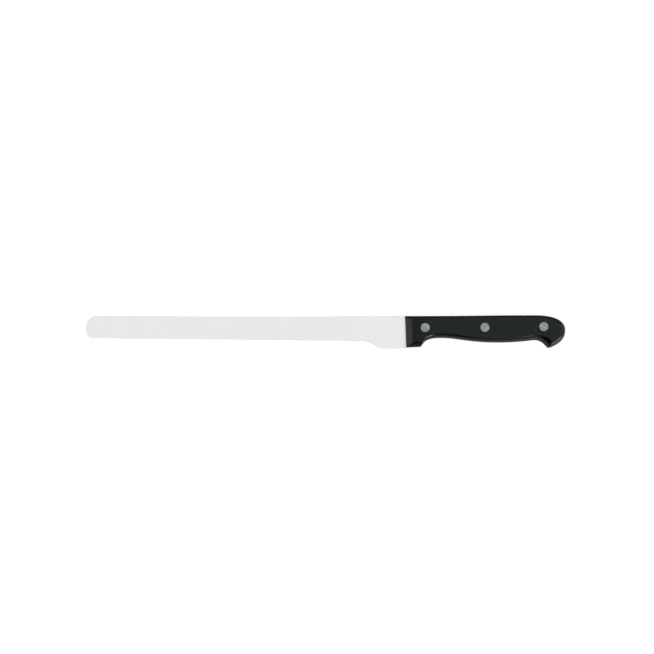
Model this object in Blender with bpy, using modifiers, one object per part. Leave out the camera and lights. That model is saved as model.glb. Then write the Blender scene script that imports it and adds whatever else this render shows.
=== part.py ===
"""A ham knife: a ground slicing blade whose full tang lies between two moulded scales on three rivets.

The knife is modelled from the front of its handle: X runs back towards the handle's end, Y up from the
line of the spine, and Z out from the middle of the blade. It lies on its right side, and the origin is
under the middle of its box.
"""

import math
from typing import NamedTuple

import bmesh
import bpy
from mathutils import Vector
from mathutils.geometry import interpolate_bezier

# Overall sizes, in metres
BLADE_LENGTH = 0.2500
HANDLE_LENGTH = 0.1247
HANDLE_THICKNESS = 0.0160
TANG_THICKNESS = 0.0020
SEAT_GAP = 0.0003

# Blade outline: depths are below the spine line, and lengths run forward from the handle's front
HEEL_DEPTH = 0.0251
HEEL_LENGTH = 0.0194
RAMP_LENGTH = 0.0156
HEEL_EDGE_DEPTH = 0.0194
TIP_EDGE_DEPTH = 0.0171
TIP_DEPTH = 0.0097
TIP_BACK_LENGTH = 0.0083
TIP_EDGE_LENGTH = 0.0056
SPINE_DIP = 0.00065
SPINE_DIP_LENGTH = 0.0900
SPINE_FLAT_LENGTH = 0.0200
RAMP_ANGLE = 27.0
HEEL_RADIUS = 0.0010

# Blade grind
TIP_THICKNESS = 0.0012
SHOULDER_THICKNESS = 0.0005
EDGE_THICKNESS = 0.0002
BEVEL_HEIGHT = 0.0022
PLUNGE_LENGTH = 0.0120
GRIND_STEP = 0.0200
PLUNGE_CUTS = 6

# Handle outline: depths are below the spine line
FRONT_SLANT = 0.0010
BACK_RISE = 0.00064
BACK_FROM_END = 0.0290
END_DEPTH = 0.0113
HOOK_DEPTH = 0.02505
HOOK_FROM_END = 0.0137
HOOK_RADIUS = 0.0010
NECK_DEPTH = 0.0188
NECK_FROM_END = 0.0240
BELLY_DEPTH = 0.0207
BELLY_FROM_FRONT = 0.0710
RECESS_DEPTH = 0.01715
RECESS_FROM_FRONT = 0.0273
GUARD_DEPTH = 0.0246
GUARD_SLOPE = 0.00045
GUARD_LENGTH = 0.0115
GUARD_RADIUS = 0.0007
HOOK_ARRIVING = -166.0
HOOK_LEAVING = 140.0
GUARD_ARRIVING = -142.0

# How far an outline keeps to its heading before and after a knot, as shares of the way to the next knot
ELLIPSE_PULL = 0.39
SPINE_PULL = 0.38
RAMP_PULL = 0.42
EDGE_PULL = 0.34
BACK_CORNER_PULL = 0.70
BACK_PULLS = (0.38, 0.22)
END_PULLS = (0.42, 0.46)
HOOK_PULLS = (0.22, 0.10)
NECK_PULLS = (0.50, 0.10)
NECK_CREST_PULLS = (0.80, 0.10)
BELLY_PULLS = (0.62, 0.50)
RECESS_PULLS = (0.30, 0.80)
GUARD_PULLS = (0.18, 0.33)

# Edge rounding of a scale: its width on the flat side and its height on the edge
BACK_ROUND = (0.0013, 0.0013)
END_ROUND = (0.0032, 0.0038)
HOOK_REAR_ROUND = 0.0038
HOOK_INNER_ROUND = 0.0062
HOOK_ROUND_HEIGHT = 0.0052
NECK_ROUND = (0.0040, 0.0052)
BELLY_ROUND = (0.0032, 0.0048)
RECESS_ROUND = (0.0038, 0.0052)
GUARD_INNER_ROUND = 0.0024
GUARD_LOWER_ROUND = 0.0044
GUARD_ROUND_HEIGHT = 0.0048
ROUND_FULLNESS = 1.5
BELLY_FULLNESS = 1.2
NECK_FULLNESS = 1.1
ROUND_RINGS = 8
RAMP_RUN = 0.0080
RAMP_DROP = 0.0035
RAMP_CURVE = 1.35
RAMP_STEPS = 8

# Rivets: places from the handle's front, and depths below the spine line
RIVET_PLACES = {"front": 0.01524, "middle": 0.06185, "rear": 0.10785}
RIVET_DEPTHS = {"front": 0.00895, "middle": 0.00874, "rear": 0.00820}
HEAD_RADIUS = 0.00355
HEAD_THICKNESS = 0.0015
HEAD_CHAMFER = 0.0002
SOCKET_RADIUS = 0.0024
SOCKET_WALL = 0.0006
SOCKET_END_GAP = 0.0005
BORE_FLOOR = 0.0005
PIN_END_GAP = 0.0010
RIVET_SIDES = 40

# How finely the outlines are drawn, and how far a cutter reaches past what it cuts
OUTLINE_STEP = 0.0032
TURN_STEP = 5.0
STRAIGHT_WITHIN = 0.5
SHARP_ANGLE = 35.0
WELD_DISTANCE = 1e-6
CUTTER_OVERRUN = 0.0020
RAMP_OVERRUN = 0.0001

# Headings, in degrees: the outlines run clockwise, seen from the left side of the knife
BACKWARD = 0.0
UP = 90.0
FORWARD = 180.0
DOWN = -90.0

# Linear base colour, metallic and roughness of each finish
SATIN_STEEL = ((0.78, 0.79, 0.80), 1.0, 0.32)
BLACK_PLASTIC = ((0.019, 0.022, 0.023), 0.0, 0.45)
RIVET_METAL = ((0.30, 0.30, 0.31), 1.0, 0.40)

# What follows from the sizes above
HALF_HANDLE = HANDLE_THICKNESS / 2
HALF_TANG = TANG_THICKNESS / 2
RAMP_TOP = -HEEL_LENGTH - RAMP_LENGTH
PLUNGE_START = RAMP_TOP - PLUNGE_LENGTH
EDGE_END = -BLADE_LENGTH + TIP_EDGE_LENGTH
SPINE_END = -BLADE_LENGTH + TIP_BACK_LENGTH
SOCKET_FLOOR = -HALF_HANDLE + HEAD_THICKNESS + BORE_FLOOR
BORE_RADIUS = SOCKET_RADIUS - SOCKET_WALL


class Knot(NamedTuple):
    """A point of an outline, with the headings, the pulls and the insets of the line before and after it.

    An inset is how far the flat side of a scale stays from the line, and the fall is how far the line
    lies below that flat side. The fullness of the rounding between them is 1 for a straight slope and 2
    for an ellipse. The crest is the edge of the flat side, and has pulls of its own if they are given.
    """

    x: float
    y: float
    arriving: float
    leaving: float
    pulls: tuple = (EDGE_PULL, EDGE_PULL)
    radius: float = 0.0
    insets: tuple = (0.0, 0.0)
    fall: float = 0.0
    fullness: float = ROUND_FULLNESS
    crest_pulls: tuple = ()

    def place(self):
        return Vector((self.x, self.y))


def curve_knot(x, y, heading, pulls, edge_round=(0.0, 0.0), **others):
    """A knot that the line passes without a corner."""
    width, height = edge_round
    return Knot(x, y, heading, heading, pulls, insets=(width, width), fall=height, **others)


def direction(heading):
    return Vector((math.cos(math.radians(heading)), math.sin(math.radians(heading))))


def to_the_right(heading):
    return direction(heading - 90.0)


def turning(first, second):
    """The angle between two headings."""
    return abs((second - first + 180.0) % 360.0 - 180.0)


def inset_point(knot):
    """Where the lines before and after the knot meet, once each has moved in by its inset."""
    before, after = to_the_right(knot.arriving), to_the_right(knot.leaving)
    inset_in, inset_out = knot.insets
    across = before.x * after.y - before.y * after.x
    if turning(knot.arriving, knot.leaving) < STRAIGHT_WITHIN:
        return knot.place() + before * inset_in
    shift_x = inset_in * after.y - inset_out * before.y
    shift_y = inset_out * before.x - inset_in * after.x
    return knot.place() + Vector((shift_x, shift_y)) / across


def rounded(knot):
    """The knot itself, or the two ends of the arc that rounds its corner."""
    if not knot.radius:
        return [knot]
    turn = math.radians(turning(knot.arriving, knot.leaving))
    reach = knot.radius * math.tan(turn / 2)
    chord = 2 * knot.radius * math.sin(turn / 2)
    pull = 4 / 3 * math.tan(turn / 4) * knot.radius / chord
    start = knot.place() - direction(knot.arriving) * reach
    end = knot.place() + direction(knot.leaving) * reach
    before, after = knot.pulls
    return [
        knot._replace(x=start.x, y=start.y, leaving=knot.arriving, pulls=(before, pull)),
        knot._replace(x=end.x, y=end.y, arriving=knot.leaving, pulls=(pull, after)),
    ]


def pairs(items):
    """Each item with the next one, and the last with the first."""
    return zip(items, items[1:] + items[:1])


def segment_steps(start, end):
    """How many straight steps a segment is drawn with, by its length and by how much it bends."""
    chord = end.place() - start.place()
    bearing = math.degrees(math.atan2(chord.y, chord.x))
    bend = turning(start.leaving, bearing) + turning(bearing, end.arriving)
    if bend < STRAIGHT_WITHIN:
        return 1
    return math.ceil(max(chord.length / OUTLINE_STEP, bend / TURN_STEP))


def segment_points(start, end, leaving, arriving, pulls, steps):
    """The points along one Bezier segment, without its last one."""
    chord = (end - start).length
    handle_out = start + direction(leaving) * chord * pulls[0]
    handle_in = end - direction(arriving) * chord * pulls[1]
    return interpolate_bezier(start, handle_out, handle_in, end, steps + 1)[:-1]


def pulls_at(knot, inset):
    """The pulls of the outline at a knot, or those of the crest."""
    return knot.crest_pulls if inset and knot.crest_pulls else knot.pulls


def rounding_between(start, end, share):
    """The fall and the fullness of the edge rounding a share of the way from one knot to the next."""
    fall = start.fall + (end.fall - start.fall) * share
    return fall, start.fullness + (end.fullness - start.fullness) * share


def outline(knots, inset=False):
    """The points of a closed outline, or of the line where its edge rounding starts, and their roundings."""
    points, roundings = [], []
    drawn = [(part, knot) for knot in knots for part in rounded(knot)]
    for (start, start_knot), (end, end_knot) in pairs(drawn):
        ends = (inset_point(start_knot), inset_point(end_knot)) if inset else (start.place(), end.place())
        steps = segment_steps(start, end)
        pulls = (pulls_at(start, inset)[1], pulls_at(end, inset)[0])
        points += segment_points(*ends, start.leaving, end.arriving, pulls, steps)
        roundings += [rounding_between(start, end, step / steps) for step in range(steps)]
    return points, roundings


def guard_heading():
    """The heading of the guard's lower edge, which falls a little towards the blade."""
    return math.degrees(math.atan2(-GUARD_SLOPE, FRONT_SLANT / 2 - GUARD_LENGTH))


def grip_knots():
    """The handle's outline behind its front: back, rounded end, hook, neck, belly, recess and guard."""
    hook = Knot(
        x=HANDLE_LENGTH - HOOK_FROM_END,
        y=-HOOK_DEPTH,
        arriving=HOOK_ARRIVING,
        leaving=HOOK_LEAVING,
        pulls=HOOK_PULLS,
        radius=HOOK_RADIUS,
        insets=(HOOK_REAR_ROUND, HOOK_INNER_ROUND),
        fall=HOOK_ROUND_HEIGHT,
    )
    guard = Knot(
        x=GUARD_LENGTH,
        y=GUARD_SLOPE - GUARD_DEPTH,
        arriving=GUARD_ARRIVING,
        leaving=guard_heading(),
        pulls=GUARD_PULLS,
        radius=GUARD_RADIUS,
        insets=(GUARD_INNER_ROUND, GUARD_LOWER_ROUND),
        fall=GUARD_ROUND_HEIGHT,
    )
    neck = curve_knot(
        HANDLE_LENGTH - NECK_FROM_END,
        -NECK_DEPTH,
        FORWARD,
        NECK_PULLS,
        NECK_ROUND,
        crest_pulls=NECK_CREST_PULLS,
        fullness=NECK_FULLNESS,
    )
    return [
        curve_knot(HANDLE_LENGTH - BACK_FROM_END, BACK_RISE, BACKWARD, BACK_PULLS, BACK_ROUND),
        curve_knot(HANDLE_LENGTH, -END_DEPTH, DOWN, END_PULLS, END_ROUND),
        hook,
        neck,
        curve_knot(
            BELLY_FROM_FRONT, -BELLY_DEPTH, FORWARD, BELLY_PULLS, BELLY_ROUND, fullness=BELLY_FULLNESS
        ),
        curve_knot(RECESS_FROM_FRONT, -RECESS_DEPTH, FORWARD, RECESS_PULLS, RECESS_ROUND),
        guard,
    ]


def scale_knots():
    """The handle's outline with its front, which leans forward at the back."""
    lean = math.degrees(math.atan2(GUARD_DEPTH, -FRONT_SLANT))
    back_width, back_height = BACK_ROUND
    back_corner = Knot(
        x=-FRONT_SLANT / 2,
        y=0.0,
        arriving=lean,
        leaving=BACKWARD,
        pulls=(EDGE_PULL, BACK_CORNER_PULL),
        insets=(0.0, back_width),
        fall=back_height,
    )
    lower_corner = Knot(
        x=FRONT_SLANT / 2,
        y=-GUARD_DEPTH,
        arriving=guard_heading(),
        leaving=lean,
        insets=(GUARD_LOWER_ROUND, 0.0),
        fall=GUARD_ROUND_HEIGHT,
    )
    return [back_corner, *grip_knots(), lower_corner]


def blade_knots():
    """The outline of blade and tang in one: tip, spine, grip, heel, ramp and cutting edge."""
    drop = HEEL_EDGE_DEPTH - TIP_EDGE_DEPTH
    edge_heading = FORWARD - math.degrees(math.atan2(drop, RAMP_TOP - EDGE_END))
    spine_pulls = (SPINE_PULL, SPINE_PULL)
    foot = Knot(
        x=-HEEL_LENGTH,
        y=-HEEL_DEPTH,
        arriving=FORWARD,
        leaving=FORWARD - RAMP_ANGLE,
        pulls=(EDGE_PULL, RAMP_PULL),
        radius=HEEL_RADIUS,
    )
    return [
        curve_knot(-BLADE_LENGTH, -TIP_DEPTH, UP, (ELLIPSE_PULL, ELLIPSE_PULL)),
        curve_knot(SPINE_END, 0.0, BACKWARD, (ELLIPSE_PULL, SPINE_PULL)),
        curve_knot(-SPINE_DIP_LENGTH, -SPINE_DIP, BACKWARD, spine_pulls),
        curve_knot(-SPINE_FLAT_LENGTH, 0.0, BACKWARD, spine_pulls),
        *grip_knots(),
        Knot(FRONT_SLANT / 2, -GUARD_DEPTH, guard_heading(), DOWN),
        Knot(FRONT_SLANT / 2, -HEEL_DEPTH, DOWN, FORWARD),
        foot,
        curve_knot(RAMP_TOP, -HEEL_EDGE_DEPTH, edge_heading, (EDGE_PULL, EDGE_PULL)),
        Knot(EDGE_END, -TIP_EDGE_DEPTH, edge_heading, FORWARD, pulls=(EDGE_PULL, ELLIPSE_PULL)),
    ]


def edge_depth(x):
    """How deep the cutting edge lies at x, on its straight line from ramp to tip."""
    return HEEL_EDGE_DEPTH + (TIP_EDGE_DEPTH - HEEL_EDGE_DEPTH) * (x - RAMP_TOP) / (EDGE_END - RAMP_TOP)


def half_thickness(x, y):
    """Half the blade's thickness: a flat grind from spine to shoulder, then the edge bevel."""
    along = max(0.0, (PLUNGE_START - x) / (BLADE_LENGTH + PLUNGE_START))
    spine = HALF_TANG + (TIP_THICKNESS - TANG_THICKNESS) / 2 * along
    shoulder_depth = edge_depth(x) - BEVEL_HEIGHT
    if -y < shoulder_depth:
        ground = spine + (SHOULDER_THICKNESS / 2 - spine) * -y / shoulder_depth
    else:
        down = min(1.0, (-y - shoulder_depth) / BEVEL_HEIGHT)
        ground = (SHOULDER_THICKNESS + (EDGE_THICKNESS - SHOULDER_THICKNESS) * down) / 2
    out = min(1.0, max(0.0, (x - PLUNGE_START) / PLUNGE_LENGTH))
    return ground + (HALF_TANG - ground) * out * out * (3 - 2 * out)


def score(bm, faces, point, normal):
    """Edges across the faces along a plane through the point."""
    parts = {part for face in faces for part in (face, *face.edges, *face.verts)}
    bmesh.ops.bisect_plane(bm, geom=list(parts), dist=WELD_DISTANCE, plane_co=point, plane_no=normal)


def score_sides(bm):
    """Edges across the flat outline in front of the handle and wherever the ground sides bend."""
    ground_length = BLADE_LENGTH + PLUNGE_START
    strips = math.ceil(ground_length / GRIND_STEP)
    cuts = [-BLADE_LENGTH + ground_length * strip / strips for strip in range(1, strips + 1)]
    cuts += [PLUNGE_START + PLUNGE_LENGTH * cut / PLUNGE_CUTS for cut in range(1, PLUNGE_CUTS + 1)]
    for x in (EDGE_END, SPINE_END, -FRONT_SLANT, *cuts):
        score(bm, bm.faces, (x, 0.0, 0.0), (1.0, 0.0, 0.0))
    tip, ramp = [Vector((x, BEVEL_HEIGHT - edge_depth(x), 0.0)) for x in (-BLADE_LENGTH, RAMP_TOP)]
    run = ramp - tip
    ground = [face for face in bm.faces if face.calc_center_median().x < RAMP_TOP]
    score(bm, ground, tip, (-run.y, run.x, 0.0))


def blade_half():
    """The left half of blade and tang, open at the middle plane."""
    bm = bmesh.new()
    points, _ = outline(blade_knots())
    bm.faces.new([bm.verts.new((point.x, point.y, 0.0)) for point in reversed(points)])
    score_sides(bm)
    flat = bm.faces[:]
    raised = bmesh.ops.extrude_face_region(bm, geom=flat)["geom"]
    for vert in (part for part in raised if isinstance(part, bmesh.types.BMVert)):
        vert.co.z = half_thickness(vert.co.x, vert.co.y)
    bmesh.ops.delete(bm, geom=flat, context="FACES")
    return bm


def loft(bm, rings):
    """Faces between rings of points, each ring having as many points as the next, with both ends closed."""
    loops = [[bm.verts.new(point) for point in ring] for ring in rings]
    for lower, upper in zip(loops, loops[1:]):
        for (a, b), (c, d) in zip(pairs(lower), pairs(upper)):
            bm.faces.new((a, b, d, c))
    bm.faces.new(reversed(loops[0]))
    bm.faces.new(loops[-1])


def rounding_point(inner, outer, rounding, angle):
    """The point at an angle from 0 to 90 degrees on the curve that rounds a scale's edge."""
    fall, fullness = rounding
    out = max(0.0, math.cos(math.radians(angle))) ** (2 / fullness)
    rise = max(0.0, math.sin(math.radians(angle))) ** (2 / fullness)
    place = inner.lerp(outer, out)
    return Vector((place.x, place.y, HALF_HANDLE - fall * (1 - rise)))


def scale_solid():
    """One scale, from its seat on the tang to its flat side, before the front ramp and the holes."""
    edge, roundings = outline(scale_knots())
    crest, _ = outline(scale_knots(), inset=True)
    rings = [[Vector((point.x, point.y, HALF_TANG + SEAT_GAP)) for point in edge]]
    for ring in range(ROUND_RINGS + 1):
        angle = 90.0 * ring / ROUND_RINGS
        rings.append([rounding_point(*line, angle) for line in zip(crest, edge, roundings)])
    bm = bmesh.new()
    loft(bm, rings)
    bmesh.ops.remove_doubles(bm, verts=bm.verts[:], dist=WELD_DISTANCE)
    bmesh.ops.recalc_face_normals(bm, faces=bm.faces[:])
    return bm


def ramp_cutter():
    """What the front ramp takes off a scale: everything above a curve that falls towards the blade."""
    low = HALF_HANDLE + RAMP_OVERRUN - RAMP_DROP
    high = HALF_HANDLE + CUTTER_OVERRUN
    profile = [(-CUTTER_OVERRUN, high), (-CUTTER_OVERRUN, low - CUTTER_OVERRUN)]
    for step in range(RAMP_STEPS + 1):
        run = step / RAMP_STEPS
        profile.append((RAMP_RUN * run, low + RAMP_DROP * (1 - (1 - run) ** RAMP_CURVE)))
    profile.append((RAMP_RUN, high))
    ends = []
    for y in (-HEEL_DEPTH - CUTTER_OVERRUN, BACK_RISE + CUTTER_OVERRUN):
        front = -FRONT_SLANT / 2 - FRONT_SLANT * y / GUARD_DEPTH
        ends.append([Vector((front + run, y, height)) for run, height in profile])
    bm = bmesh.new()
    loft(bm, ends)
    bmesh.ops.recalc_face_normals(bm, faces=bm.faces[:])
    return bm


def mirrored(bm):
    """The same shape on the other side of the blade."""
    for vert in bm.verts:
        vert.co.z = -vert.co.z
    bmesh.ops.reverse_faces(bm, faces=bm.faces[:])
    return bm


def mesh_object(name, bm, collection, parent):
    mesh = bpy.data.meshes.new(name)
    bm.to_mesh(mesh)
    bm.free()
    return mesh_in_scene(name, mesh, collection, parent)


def mesh_in_scene(name, mesh, collection, parent):
    obj = bpy.data.objects.new(name, mesh)
    obj.parent = parent
    collection.objects.link(obj)
    return obj


def profile_mesh(name, profile):
    """A line of (radius, height) points, to be turned round Z."""
    mesh = bpy.data.meshes.new(name)
    points = [(radius, 0.0, height) for radius, height in profile]
    mesh.from_pydata(points, [(i, i + 1) for i in range(len(points) - 1)], [])
    return mesh


def turn(obj):
    """Turns the object's profile round its Z axis."""
    screw = obj.modifiers.new("turned", "SCREW")
    screw.steps = RIVET_SIDES
    screw.render_steps = RIVET_SIDES
    screw.use_merge_vertices = True
    screw.merge_threshold = WELD_DISTANCE


def cut(obj, cutter):
    boolean = obj.modifiers.new("cut by " + cutter.name, "BOOLEAN")
    boolean.operation = "DIFFERENCE"
    boolean.object = cutter


def pin_profile():
    """The pin half of a rivet: its head lies in the left scale, and its pin ends inside the socket."""
    pin = BORE_RADIUS - SEAT_GAP
    end = SOCKET_FLOOR + PIN_END_GAP
    return [
        (0.0, HALF_HANDLE),
        (HEAD_RADIUS - HEAD_CHAMFER, HALF_HANDLE),
        (HEAD_RADIUS, HALF_HANDLE - HEAD_CHAMFER),
        (HEAD_RADIUS, HALF_HANDLE - HEAD_THICKNESS),
        (pin, HALF_HANDLE - HEAD_THICKNESS),
        (pin, end + HEAD_CHAMFER),
        (pin - HEAD_CHAMFER, end),
        (0.0, end),
    ]


def socket_profile():
    """The socket half of a rivet: a bored shank with its head in the right scale."""
    mouth = HALF_HANDLE - HEAD_THICKNESS - SOCKET_END_GAP
    return [
        (0.0, SOCKET_FLOOR),
        (BORE_RADIUS, SOCKET_FLOOR),
        (BORE_RADIUS, mouth),
        (SOCKET_RADIUS, mouth),
        (SOCKET_RADIUS, -HALF_HANDLE + HEAD_THICKNESS),
        (HEAD_RADIUS, -HALF_HANDLE + HEAD_THICKNESS),
        (HEAD_RADIUS, -HALF_HANDLE + HEAD_CHAMFER),
        (HEAD_RADIUS - HEAD_CHAMFER, -HALF_HANDLE),
        (0.0, -HALF_HANDLE),
    ]


def hole_profile():
    """The hole through scales and tang, with a seat for a head at each end."""
    end = HALF_HANDLE + CUTTER_OVERRUN
    seat = HALF_HANDLE - HEAD_THICKNESS - SEAT_GAP
    head = HEAD_RADIUS + SEAT_GAP
    hole = SOCKET_RADIUS + SEAT_GAP
    upper = [(0.0, end), (head, end), (head, seat), (hole, seat)]
    return upper + [(radius, -height) for radius, height in reversed(upper)]


def finish(pieces, name, look):
    """Gives the pieces one material."""
    colour, metallic, roughness = look
    material = bpy.data.materials.new(name)
    material.use_nodes = True
    shader = material.node_tree.nodes["Principled BSDF"]
    shader.inputs["Base Color"].default_value = (*colour, 1.0)
    shader.inputs["Metallic"].default_value = metallic
    shader.inputs["Roughness"].default_value = roughness
    for piece in pieces:
        piece.data.materials.append(material)


def clear_scene():
    for obj in list(bpy.data.objects):
        bpy.data.objects.remove(obj)


def new_collection(name):
    collection = bpy.data.collections.new(name)
    bpy.context.scene.collection.children.link(collection)
    return collection


def knife_place():
    """The empty that carries every piece, placed so that the origin is under the middle of the knife."""
    points = outline(blade_knots())[0] + outline(scale_knots())[0]
    xs, ys = [point.x for point in points], [point.y for point in points]
    place = bpy.data.objects.new("ham_knife", None)
    place.location = (-(min(xs) + max(xs)) / 2, -(min(ys) + max(ys)) / 2, HALF_HANDLE)
    return place


def as_cutter(obj):
    obj.hide_render = True
    obj.display_type = "WIRE"
    return obj


def smooth_by_angle():
    """Nodes that shade a mesh smooth, with a sharp edge wherever it bends by more than an angle."""
    group = bpy.data.node_groups.new("smooth_by_angle", "GeometryNodeTree")
    group.interface.new_socket("Mesh", in_out="INPUT", socket_type="NodeSocketGeometry")
    group.interface.new_socket("Mesh", in_out="OUTPUT", socket_type="NodeSocketGeometry")
    given = group.nodes.new("NodeGroupInput")
    result = group.nodes.new("NodeGroupOutput")
    bend = group.nodes.new("GeometryNodeInputMeshEdgeAngle")
    gentle = group.nodes.new("FunctionNodeCompare")
    gentle.operation = "LESS_THAN"
    gentle.inputs["B"].default_value = math.radians(SHARP_ANGLE)
    smooth_faces = group.nodes.new("GeometryNodeSetShadeSmooth")
    smooth_edges = group.nodes.new("GeometryNodeSetShadeSmooth")
    smooth_edges.domain = "EDGE"
    group.links.new(given.outputs["Mesh"], smooth_faces.inputs["Geometry"])
    group.links.new(smooth_faces.outputs["Geometry"], smooth_edges.inputs["Geometry"])
    group.links.new(bend.outputs["Unsigned Angle"], gentle.inputs["A"])
    group.links.new(gentle.outputs["Result"], smooth_edges.inputs["Shade Smooth"])
    group.links.new(smooth_edges.outputs["Geometry"], result.inputs["Mesh"])
    return group


def main():
    clear_scene()
    parts = new_collection("ham_knife")
    cutters = new_collection("cutters")
    place = knife_place()
    parts.objects.link(place)

    blade = mesh_object("blade", blade_half(), parts, place)
    mirror = blade.modifiers.new("both sides", "MIRROR")
    mirror.use_axis = (False, False, True)
    mirror.merge_threshold = WELD_DISTANCE
    left = mesh_object("left_scale", scale_solid(), parts, place)
    right = mesh_object("right_scale", mirrored(scale_solid()), parts, place)
    cut(left, as_cutter(mesh_object("left_ramp_cut", ramp_cutter(), cutters, place)))
    cut(right, as_cutter(mesh_object("right_ramp_cut", mirrored(ramp_cutter()), cutters, place)))

    rivets = []
    hole_mesh = profile_mesh("rivet_hole", hole_profile())
    for which, along in RIVET_PLACES.items():
        pin = mesh_in_scene(which + "_rivet_pin", profile_mesh("rivet_pin", pin_profile()), parts, place)
        socket_mesh = profile_mesh("rivet_socket", socket_profile())
        socket = mesh_in_scene(which + "_rivet_socket", socket_mesh, parts, place)
        hole = as_cutter(mesh_in_scene(which + "_rivet_hole", hole_mesh, cutters, place))
        for turned in (pin, socket, hole):
            turned.location = (along, -RIVET_DEPTHS[which], 0.0)
            turn(turned)
        for piece in (blade, left, right):
            cut(piece, hole)
        rivets += [pin, socket]

    smoothing = smooth_by_angle()
    for piece in (blade, left, right, *rivets):
        piece.modifiers.new("smooth by angle", "NODES").node_group = smoothing
    finish([blade], "satin_steel", SATIN_STEEL)
    finish([left, right], "black_plastic", BLACK_PLASTIC)
    finish(rivets, "rivet_metal", RIVET_METAL)


main()
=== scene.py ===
"""Looks of a ham knife that lies on its right side on a pale studio floor, seen from above.

Shapes are drawn in the handle's own frame: X back from the handle's front, Y up from the line of
the spine, Z out from the middle of the blade.
"""

import math
from typing import NamedTuple

import bmesh
import bpy
from mathutils import Matrix, Vector
from mathutils.geometry import interpolate_bezier


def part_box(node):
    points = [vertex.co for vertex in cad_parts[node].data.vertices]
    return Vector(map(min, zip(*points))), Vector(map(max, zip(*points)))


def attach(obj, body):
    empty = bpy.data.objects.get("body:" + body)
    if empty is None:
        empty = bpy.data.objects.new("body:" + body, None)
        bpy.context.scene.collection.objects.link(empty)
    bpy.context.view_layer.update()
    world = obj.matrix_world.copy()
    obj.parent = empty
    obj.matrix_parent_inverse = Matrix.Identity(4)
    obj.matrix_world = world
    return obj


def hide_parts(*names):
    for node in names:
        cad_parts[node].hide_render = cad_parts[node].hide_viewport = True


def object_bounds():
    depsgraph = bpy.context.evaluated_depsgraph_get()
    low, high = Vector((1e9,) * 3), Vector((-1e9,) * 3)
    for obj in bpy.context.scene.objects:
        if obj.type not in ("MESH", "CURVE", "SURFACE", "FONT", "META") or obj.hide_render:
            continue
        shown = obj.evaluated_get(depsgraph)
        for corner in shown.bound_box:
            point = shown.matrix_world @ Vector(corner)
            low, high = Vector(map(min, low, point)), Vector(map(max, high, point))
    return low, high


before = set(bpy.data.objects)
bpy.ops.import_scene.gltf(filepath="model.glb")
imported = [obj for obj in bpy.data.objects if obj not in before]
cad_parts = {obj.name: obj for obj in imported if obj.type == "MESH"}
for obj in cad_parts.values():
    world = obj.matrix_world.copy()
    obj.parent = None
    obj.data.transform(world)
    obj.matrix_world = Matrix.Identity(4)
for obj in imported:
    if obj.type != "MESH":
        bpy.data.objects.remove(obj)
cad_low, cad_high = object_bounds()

# Sizes from the frame, in metres
SCALE_LOW, SCALE_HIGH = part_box("left_scale")
BLADE_LOW, BLADE_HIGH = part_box("blade")
RIVET_LOW, RIVET_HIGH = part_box("front_rivet_pin")
HALF_HANDLE = (cad_high.z - cad_low.z) / 2
HALF_TANG = (BLADE_HIGH.z - BLADE_LOW.z) / 2
HEAD_RADIUS = (RIVET_HIGH.x - RIVET_LOW.x) / 2

# Blade outline: depths are below the spine line, and lengths run forward from the handle's front
HEEL_DEPTH = 0.0251
HEEL_LENGTH = 0.0194
RAMP_LENGTH = 0.0156
HEEL_EDGE_DEPTH = 0.0194
TIP_EDGE_DEPTH = 0.0171
TIP_DEPTH = 0.0097
TIP_BACK_LENGTH = 0.0083
TIP_EDGE_LENGTH = 0.0056
SPINE_DIP = 0.00065
SPINE_DIP_LENGTH = 0.0900
SPINE_FLAT_LENGTH = 0.0200
RAMP_ANGLE = 27.0
HEEL_RADIUS = 0.0010

# Blade grind and the rounding of its rim
TIP_THICKNESS = 0.0012
SHOULDER_THICKNESS = 0.0005
EDGE_THICKNESS = 0.00006
BEVEL_HEIGHT = 0.0022
PLUNGE_LENGTH = 0.0120
GRIND_STEP = 0.0050
PLUNGE_STEP = 0.0006
RIM_ROUND = 0.00012
RIM_SHARE = 0.18
RIM_RINGS = 4
RIM_MARGIN = 0.0002

# Handle outline: depths are below the spine line
FRONT_SLANT = 0.0010
BACK_RISE = 0.00064
BACK_FROM_END = 0.0290
END_DEPTH = 0.0113
HOOK_DEPTH = 0.02505
HOOK_FROM_END = 0.0137
HOOK_RADIUS = 0.0010
NECK_DEPTH = 0.0188
NECK_FROM_END = 0.0240
BELLY_DEPTH = 0.0207
BELLY_FROM_FRONT = 0.0710
RECESS_DEPTH = 0.01715
RECESS_FROM_FRONT = 0.0273
GUARD_DEPTH = 0.0246
GUARD_SLOPE = 0.00045
GUARD_LENGTH = 0.0115
GUARD_RADIUS = 0.0007
HOOK_ARRIVING = -166.0
HOOK_LEAVING = 140.0
GUARD_ARRIVING = -142.0

# How far an outline keeps to its heading before and after a knot, as shares of the segment
ELLIPSE_PULL = 0.39
SPINE_PULL = 0.38
RAMP_PULL = 0.42
EDGE_PULL = 0.34
BACK_CORNER_PULL = 0.70
BACK_PULLS = (0.38, 0.22)
END_PULLS = (0.42, 0.46)
HOOK_PULLS = (0.22, 0.10)
NECK_PULLS = (0.50, 0.10)
NECK_CREST_PULLS = (0.80, 0.10)
BELLY_PULLS = (0.62, 0.50)
RECESS_PULLS = (0.30, 0.80)
GUARD_PULLS = (0.18, 0.33)

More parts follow.
